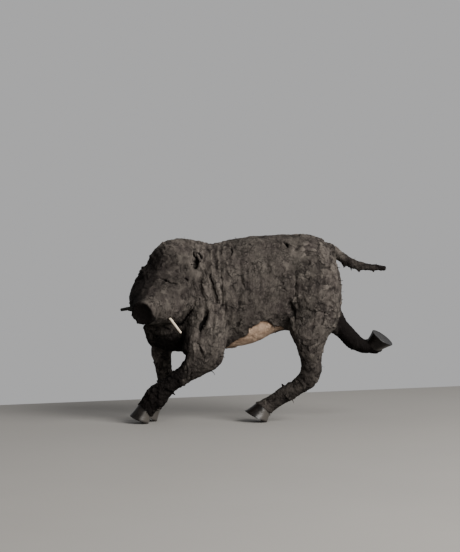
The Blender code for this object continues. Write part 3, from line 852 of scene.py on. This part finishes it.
def head_shade_paint(points, blotch):
    """The head's painted shade, darker crown, black snout with a painted highlight, and where the head
    is.
    """
    back, left, up = head_shares(points)
    seen_x, seen_y = seen_at(points).T
    radius = np.hypot(left, up)
    # Black on the snout, reaching further back below and on the head's right: painted shade there
    edge = 1.5 + 10 * (1 - ramp(-4, 10, up + 0.35 * left))
    # Painted highlight on the upper rim, towards the lamp, where the black is taken back
    painted_highlight = ramp(0.5, 0.85, (0.8 * up + 0.6 * left) / (radius + 1)) * ramp(12.8, 13.8, radius)
    speck = noise_of(points, 1.8, 49)
    snout = (1 - ramp(0, 2.4, back - edge + 0.6 * blotch + 1.2 * speck)) * (1 - 0.85 * painted_highlight)
    # Painted shade on the far cheek, the throat, under the jaw and the forehead's side away from the
    # lamp
    far_cheek = 0.85 * (1 - ramp(-26, 0, left + blotch))
    throat = 0.55 + 0.40 * ramp(332, 339, seen_y + 0.3 * blotch)
    under_jaw = throat * (1 - ramp(-26, -14, up + blotch))
    side_x, side_y = np.array(SHADED_SIDE).T
    past_side = seen_x - np.interp(seen_y, side_y, side_x)
    shaded_side = 0.56 + 0.32 * ramp(244, 262, seen_y) + 0.02 * np.clip(blotch, -4, 4)
    shaded_side *= 1 - ramp(-4, 4, past_side + 0.7 * blotch)
    brow = 0.02 + 0.42 * ramp(6, 26, up)
    on_head = (1 - ramp(74, 92, back)) * (np.abs(left) < 50)
    return on_head * np.maximum.reduce([snout, far_cheek, shaded_side, under_jaw, brow]), on_head


def dark_paint_and_shade(points):
    """Painted shade on the head, breast and legs, with the snout black and the tail darker."""
    x, y, z = (points / MM).T
    blotch = 5 * noise_of(points, 16, 47) + 3 * noise_of(points, 6, 48)
    head, on_head = head_shade_paint(points, blotch)
    # Painted shade on the breast under the head
    breast = (1 - ramp(-100, -84, x + blotch)) * (1 - ramp(14, 46, y + blotch)) * (1 - on_head)
    breast *= ramp(84, 98, z + blotch) * (1 - ramp(122, 142, z + blotch))
    # Painted shade low on the legs under the body, less of it on the far foreleg
    fore = 0.54 * (1 - ramp(66, 108, z + blotch)) * (1 - ramp(-60, -30, x))
    fore *= 1 - 0.85 * ramp(36, 42, y)
    hind = 0.42 * (1 - ramp(70, 104, z + blotch)) * ramp(-40, -20, x)
    # Painted shade under the raised hind leg
    raised = ramp(96, 112, x + blotch) * (1 - ramp(140, 158, z))
    tail = (0.72 + 0.09 * np.clip(blotch, -3, 3)) * tail_share(points)
    return np.maximum.reduce([head, breast, fore, hind, raised, tail])


def model_skin():
    """The papier-mache skin with its folds, holes, slits and the bare belly, and its colour masks."""
    skin = skin_form()
    mesh = skin.data
    tree = surface_of(mesh)
    points, normals = points_and_normals(mesh)
    height, fine, creases = relief(points)
    reach = belly_reach(points, tree)
    bare = ramp(-0.5, 0.6, reach)
    lip = np.exp(-(((reach + 1.8) / 1.6) ** 2)) * (reach > -8)
    nose_reached = nose_reach(points, normals)
    nose = ramp(-0.4, 0.5, nose_reached)
    nose_lip = np.exp(-((nose_reached + 1) ** 2))
    snout, disc = snout_relief(points, normals)
    smooth = (1 - 0.45 * bare) * (1 - 0.45 * nose) * (1 - 0.8 * disc)
    height = height * smooth
    height += (LIP_HEIGHT * lip - SKIN_THICKNESS * bare) * MM
    height += (0.4 * nose_lip - NOSE_STEP * nose) * MM + snout
    depth, dark = pressed(points, feature_lines(tree))
    move_points(mesh, points + normals * (height - depth)[:, None])
    # Painted shade and dark paint, more painted shade on the side of the nose, and the snout's disc
    # black
    shade_and_dark_paint = np.maximum(dark_paint_and_shade(points), np.maximum(disc, 0.74 * ramp(-1, 1, nose_reached)))
    store = {
        "bare": bare,
        # The torn edge's stain and painted shadow
        "torn_stain_and_shadow": np.exp(-((reach / 1.8) ** 2)) * bare,
        # Painted shade in the deep slits and holes
        "hollow_shade": dark,
        # Where the creases get painted shade
        "crease_shade": creases * smooth,
        # Height of the fine relief: ridges lighter, partly wear and partly painted highlight, valleys
        # painted shade
        "raised": np.clip(0.44 + 0.40 * fine * smooth, 0, 1),
        "shade_and_dark_paint": shade_and_dark_paint,
    }
    return skin, store


def thin_out(skin, store):
    """Reduces the mesh to its triangle budget and gives each vertex its masks."""
    places = points_of(skin.data)
    thin = skin.modifiers.new("thin", "DECIMATE")
    thin.ratio = SKIN_TRIANGLES / (2 * len(skin.data.polygons))
    thin.use_collapse_triangulate = True
    apply_modifiers(skin)
    finder = KDTree(len(places))
    for i, place in enumerate(places):
        finder.insert(place, i)
    finder.balance()
    nearest = [finder.find(vertex.co)[1] for vertex in skin.data.vertices]
    for name, values in store.items():
        store_mask(skin.data, name, values[nearest])
    skin.data.shade_smooth()


def add_fibre(form, start, heading, axis, bend, length, radius):
    """A thin curled hair of pulp: a tapered tube that turns about the axis as it goes."""
    across = axis.normalized()
    step = length / (FIBRE_RINGS - 1)
    turn = bend / (FIBRE_RINGS - 1)
    centre, rings = Vector(start), []
    for i in range(FIBRE_RINGS):
        beside = heading.cross(across).normalized()
        wide = radius * (1 - 0.5 * i / (FIBRE_RINGS - 1))
        rings.append(ring(centre, across * wide, beside * wide, FIBRE_SIDES))
        centre = centre + heading * step
        heading = heading * math.cos(turn) + across.cross(heading) * math.sin(turn)
    tube(form, rings)


def painted(made, share):
    """Gives each vertex the skin's painted shade and dark paint at its place, or at least the given
    share.
    """
    store_mask(made.data, "shade_and_dark_paint", np.maximum(dark_paint_and_shade(points_of(made.data)), share))
    return made


def loose_fibres(skin, store, tree):
    """Hairs of pulp at the places that the photograph shows, and strays where the skin is torn."""
    form = bmesh.new()
    for x, y, right, up, length, bend in FIBRES:
        place, normal = on_figure(tree, (x, y))
        heading = (Vector((right, -0.3, up)) + normal * 0.3).normalized()
        axis = heading.cross(Vector((right * 0.1, -1, 0.1))).cross(heading)
        start = place - heading * 0.6 * MM
        add_fibre(form, start, heading, axis, math.radians(bend), length * MM, FIBRE_RADIUS * MM)
    rng = np.random.default_rng(5)
    points, normals = points_and_normals(skin.data)
    likely = 0.04 + 3 * store["torn_stain_and_shadow"] + 1.5 * store["hollow_shade"] + 0.5 * tail_share(points)
    likely += 0.3 * (points[:, 2] < STRAY_LOW)
    likely *= (points[:, 2] > STRAY_LOWEST) * (store["bare"] < 0.9)
    for i in rng.choice(len(points), STRAY_FIBRES, replace=False, p=likely / likely.sum()):
        normal = Vector(normals[i])
        aside = Vector(rng.normal(size=3)).cross(normal).normalized()
        heading = (normal * rng.uniform(0.25, 0.8) + aside).normalized()
        start = Vector(points[i]) - heading * 0.5 * MM
        length = rng.uniform(1.6, 4.2) * MM
        radius = STRAY_RADIUS * rng.uniform(0.7, 1.3) * MM
        axis = heading.cross(aside + normal * 0.2)
        add_fibre(form, start, heading, axis, rng.uniform(-2.2, 2.2), length, radius)
    bmesh.ops.recalc_face_normals(form, faces=form.faces)
    made = mesh_object("loose_fibres", form)
    made.data.shade_smooth()
    return painted(made, 0.7)


def torn_scraps(tree):
    """Small scraps of the skin that stand off at its tears, its cuffs and the tail."""
    form = bmesh.new()
    rng = np.random.default_rng(9)
    for x, y, right, up, length, half_width, lift in SCRAPS:
        place, normal = on_figure(tree, (x, y))
        heading = Vector((right, 0, up))
        heading = (heading - normal * min(0.0, heading.dot(normal))).normalized()
        side = normal.cross(heading).normalized()
        rings = []
        for i in range(SCRAP_RINGS):
            share = i / (SCRAP_RINGS - 1)
            centre = place + (heading * length * share + normal * (lift * share**1.5 - 0.5)) * MM
            wide = half_width * (1 - 0.75 * share**1.4) * rng.uniform(0.8, 1.15) * MM
            half_thick = SCRAP_THICKNESS * (1 - 0.4 * share) / 2 * MM
            bow = normal * (0.35 * half_width * MM * (1 - share)) * 0.5
            ends = (centre - side * wide - bow, centre + bow, centre + side * wide - bow)
            upper = [end + normal * half_thick for end in ends]
            lower = [end - normal * half_thick for end in reversed(ends)]
            rings.append(upper + lower)
        tube(form, rings)
    bmesh.ops.recalc_face_normals(form, faces=form.faces)
    return painted(mesh_object("torn_scraps", form), 0.35)


class Nodes:
    """Short calls for building a node tree."""

    def __init__(self, name):
        self.material = bpy.data.materials.new(name)
        self.material.use_nodes = True
        self.tree = self.material.node_tree
        self.shader = self.tree.nodes["Principled BSDF"]
        self.place = self.tree.nodes.new("ShaderNodeTexCoord").outputs["Object"]
        drawn = self.tree.nodes.new("ShaderNodeMapping")
        drawn.inputs["Scale"].default_value = (1, 1, DRAWN_OUT)
        self.tree.links.new(self.place, drawn.inputs["Vector"])
        self.drawn = drawn.outputs["Vector"]

    def feed(self, node, socket, value):
        if isinstance(value, bpy.types.NodeSocket):
            self.tree.links.new(value, node.inputs[socket])
        else:
            node.inputs[socket].default_value = value

    def value(self, name):
        """The noise of this name, or else the mesh's mask."""
        if name not in NOISES:
            node = self.tree.nodes.new("ShaderNodeAttribute")
            node.attribute_name = name
            return node.outputs["Fac"]
        node = self.tree.nodes.new("ShaderNodeTexNoise")
        self.feed(node, "Vector", self.drawn if name in DRAWN else self.place)
        for socket, given in zip(("Scale", "Detail", "Roughness"), NOISES[name]):
            self.feed(node, socket, given)
        return node.outputs["Fac"]

    def spread(self, value, low, high, to_low=0.0, to_high=1.0):
        node = self.tree.nodes.new("ShaderNodeMapRange")
        for i, given in enumerate((value, low, high, to_low, to_high)):
            self.feed(node, i, given)
        return node.outputs["Result"]

    def mix(self, share, one, other):
        node = self.tree.nodes.new("ShaderNodeMix")
        node.data_type = "RGBA"
        for i, given in ((0, share), (6, one), (7, other)):
            self.feed(node, i, given)
        return node.outputs[2]

    def sums(self, kind, one, other):
        node = self.tree.nodes.new("ShaderNodeMath")
        node.operation = kind
        self.feed(node, 0, one)
        self.feed(node, 1, other)
        return node.outputs[0]

    def coat(self, colour, coats):
        """The colour under its coats."""
        for name, low, high, share, coat in coats:
            colour = self.mix(self.spread(self.value(name), low, high, 0, share), colour, (*coat, 1))
        return colour

    def surface(self, colour, roughness, specular):
        sockets = ("Base Color", "Roughness", "Specular IOR Level")
        for socket, given in zip(sockets, (colour, roughness, specular)):
            self.feed(self.shader, socket, given)

    def bump(self, height, strength, distance):
        node = self.tree.nodes.new("ShaderNodeBump")
        for socket, value in (("Strength", strength), ("Distance", distance), ("Height", height)):
            self.feed(node, socket, value)
        self.tree.links.new(node.outputs["Normal"], self.shader.inputs["Normal"])


def skin_material():
    n = Nodes("papier_mache")
    colour = n.coat((*PAPER, 1), PAPER_COATS)
    colour = n.mix(n.value("bare"), colour, n.coat((*BELLY, 1), BELLY_COATS))
    roughness = n.spread(n.value("mottled"), 0.3, 0.8, 0.72, 0.95)
    n.surface(n.coat(colour, HOLLOW_SHADE_COATS), roughness, n.spread(n.value("shade_and_dark_paint"), 0, 1, 0.10, 0.04))
    fine_pulp = n.sums("MULTIPLY", n.value("fine_pulp"), 0.5)
    n.bump(n.sums("ADD", n.value("pulp"), fine_pulp), 0.8, 0.0018)
    return n.material


def hoof_material():
    n = Nodes("hoof")
    roughness = n.spread(n.value("wax"), 0.3, 0.7, 0.26, 0.38)
    n.surface(n.coat((*HORN, 1), HORN_COATS), roughness, 0.16)
    n.bump(n.value("knife_marks"), 0.15, 0.0006)
    return n.material


def tusk_material(name, light, dark):
    n = Nodes(name)
    roughness = n.spread(n.value("pores"), 0.3, 0.7, 0.5, 0.75)
    n.surface(n.mix(n.spread(n.value("wood"), 0.35, 0.7), light, dark), roughness, 0.12)
    n.bump(n.value("fine_wood"), 0.2, 0.0004)
    return n.material


def dress(piece, material, slot, *nodes):
    """Gives the piece its material, hangs it under the root and hides the parts it replaces."""
    piece.data.materials.clear()
    piece.data.materials.append(material)
    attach(piece, "root")
    if nodes:
        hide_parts(*nodes)


def hoof_profile(size):
    """Radius and height of a hoof's rings, in millimetres: the sunk sole, its worn rim and the wall."""
    radius, top_radius, height, _ = size
    profile = [(radius * share, 0.5 * math.sqrt(1 - share)) for share in (0.05, 0.3, 0.55, 0.75, 0.88)]
    profile += [(radius - 0.9, 0.02), (radius - 0.3, 0.08), (radius, RIM_RISE)]
    for i in range(1, HOOF_RINGS + 1):
        share = i / HOOF_RINGS
        wide = radius + (top_radius - radius) * share - WALL_HOLLOW * math.sin(math.pi * share)
        profile.append((wide, RIM_RISE + (height - RIM_RISE) * share))
    return profile


def hoof_piece(name, size, sole, rise, toe):
    """A hand-cut hoof with a worn rim and a slightly sunk sole."""
    height, lean = size[2:]
    side = rise.cross(toe)
    rings = []
    for wide, up in hoof_profile(size):
        middle = sole + (rise * up - toe * lean * up / height) * MM
        rings.append(ring(middle, toe * wide * MM, side * wide * MM, HOOF_SIDES))
    made = loft(name, rings)
    points, normals = points_and_normals(made.data)
    rough = 0.26 * noise_of(points, 6.5, 71) + 0.10 * noise_of(points, 2.4, 72)
    lift = (points - np.array(sole)) @ np.array(rise) / MM
    rough = rough * ramp(0.3, 1.5, lift) + 0.05 * noise_of(points, 1.5, 73)
    moved = points + normals * (rough * MM)[:, None]
    moved[:, 2] = np.maximum(moved[:, 2], 0)
    move_points(made.data, moved)
    store_mask(made.data, "sole", 1 - ramp(0.2, 0.7, lift))
    # Painted highlight: the wall is paler where it faces the figure's rear, towards the lamp
    store_mask(made.data, "painted_highlight", ramp(-0.05, 0.35, normals[:, 0]) * ramp(1, 4, lift))
    made.data.shade_smooth()
    made.data.set_sharp_from_angle(angle=math.radians(50))
    return made


def tusk_piece(node, swell):
    """A thin peg of wood with a rounded tip, swollen by the given share."""
    points = points_of(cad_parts[node].data)
    middle = points.mean(axis=0)
    axis = np.linalg.svd(points - middle)[2][0]
    along = (points - middle) @ axis
    ends = []
    for sign in (-1, 1):
        rim = points[sign * along > (sign * along).max() - 0.4 * MM]
        centre = rim.mean(axis=0)
        ends.append((np.linalg.norm(rim - centre, axis=1).max(), Vector(centre)))
    (thick, root), (thin, tip) = sorted(ends, key=lambda end: -end[0])
    heading = (tip - root).normalized()
    across = heading.orthogonal().normalized()
    beside = heading.cross(across)
    length = (tip - root).length
    blunt = max(thin, TUSK_BLUNT * thick)
    rings = []
    for i in range(TUSK_RINGS + 1):
        share = i / TUSK_RINGS
        wide = thick + (blunt - thick) * max(0, share - TUSK_NARROWS) / (1 - TUSK_NARROWS)
        wide *= 1 + swell
        wide *= math.sqrt(max(0.02, 1 - max(0, (share - TUSK_ROUNDS) / (1 - TUSK_ROUNDS)) ** 2))
        rings.append(ring(root + heading * length * share, across * wide, beside * wide, TUSK_SIDES))
    made = loft(node + "_peg", rings)
    points, normals = points_and_normals(made.data)
    rough = 0.10 * noise_of(points, 4, 81) + 0.05 * noise_of(points, 1.2, 82)
    move_points(made.data, points + normals * (rough * MM)[:, None])
    made.data.shade_smooth()
    return made


def camera():
    data = bpy.data.cameras.new("camera")
    data.sensor_width = SENSOR_WIDTH
    data.lens = FOCAL_PIXELS / PHOTO_HEIGHT * SENSOR_WIDTH
    made = add_object("camera", data)
    made.location = CAMERA_PLACE
    made.rotation_euler = (math.pi / 2, 0, 0)
    bpy.context.scene.camera = made


def table_top():
    """A pale table top whose back edge crosses the picture behind the figure."""
    left, right = TABLE_EDGE
    run = (right - left).normalized()
    front = Vector((run.y, -run.x, 0)) * TABLE_DEPTH
    left, right = left - run * TABLE_RUN_ON, right + run * TABLE_RUN_ON
    form = bmesh.new()
    form.faces.new([form.verts.new(corner) for corner in (right, left, left + front, right + front)])
    floor = mesh_object("floor", form)
    thick = floor.modifiers.new("thick", "SOLIDIFY")
    thick.thickness = TABLE_THICKNESS
    thick.offset = -1
    n = Nodes("floor")
    n.surface(n.mix(n.value("floor"), *FLOOR), 0.8, 0.2)
    floor.data.materials.append(n.material)


def studio():
    """Even light from all round, and one soft lamp in front, above and to the right."""
    world = bpy.data.worlds.new("studio")
    world.use_nodes = True
    world.node_tree.nodes["Background"].inputs["Color"].default_value = BACKDROP
    bpy.context.scene.world = world
    data = bpy.data.lights.new("key", "AREA")
    data.size = KEY_SIZE
    data.energy = KEY_POWER
    data.color = KEY_COLOUR
    lamp = add_object("key", data)
    lamp.location = KEY_PLACE
    lamp.rotation_euler = (Vector(KEY_TARGET) - Vector(KEY_PLACE)).to_track_quat("-Z", "Y").to_euler()


def main():
    skin, store = model_skin()
    tree = surface_of(skin.data)
    paper = skin_material()
    dress(loose_fibres(skin, store, tree), paper, "papier_mache")
    dress(torn_scraps(tree), paper, "papier_mache")
    thin_out(skin, store)
    dress(skin, paper, "papier_mache", "body")
    horn = hoof_material()
    for name, pose in HOOVES.items():
        dress(hoof_piece(name + "_horn", *pose), horn, "hoof", name)
    for name, swell, material_name, colours in TUSKS:
        dress(tusk_piece(name, swell), tusk_material(material_name, *colours), "tusk", name)
    table_top()
    studio()
    camera()


main()
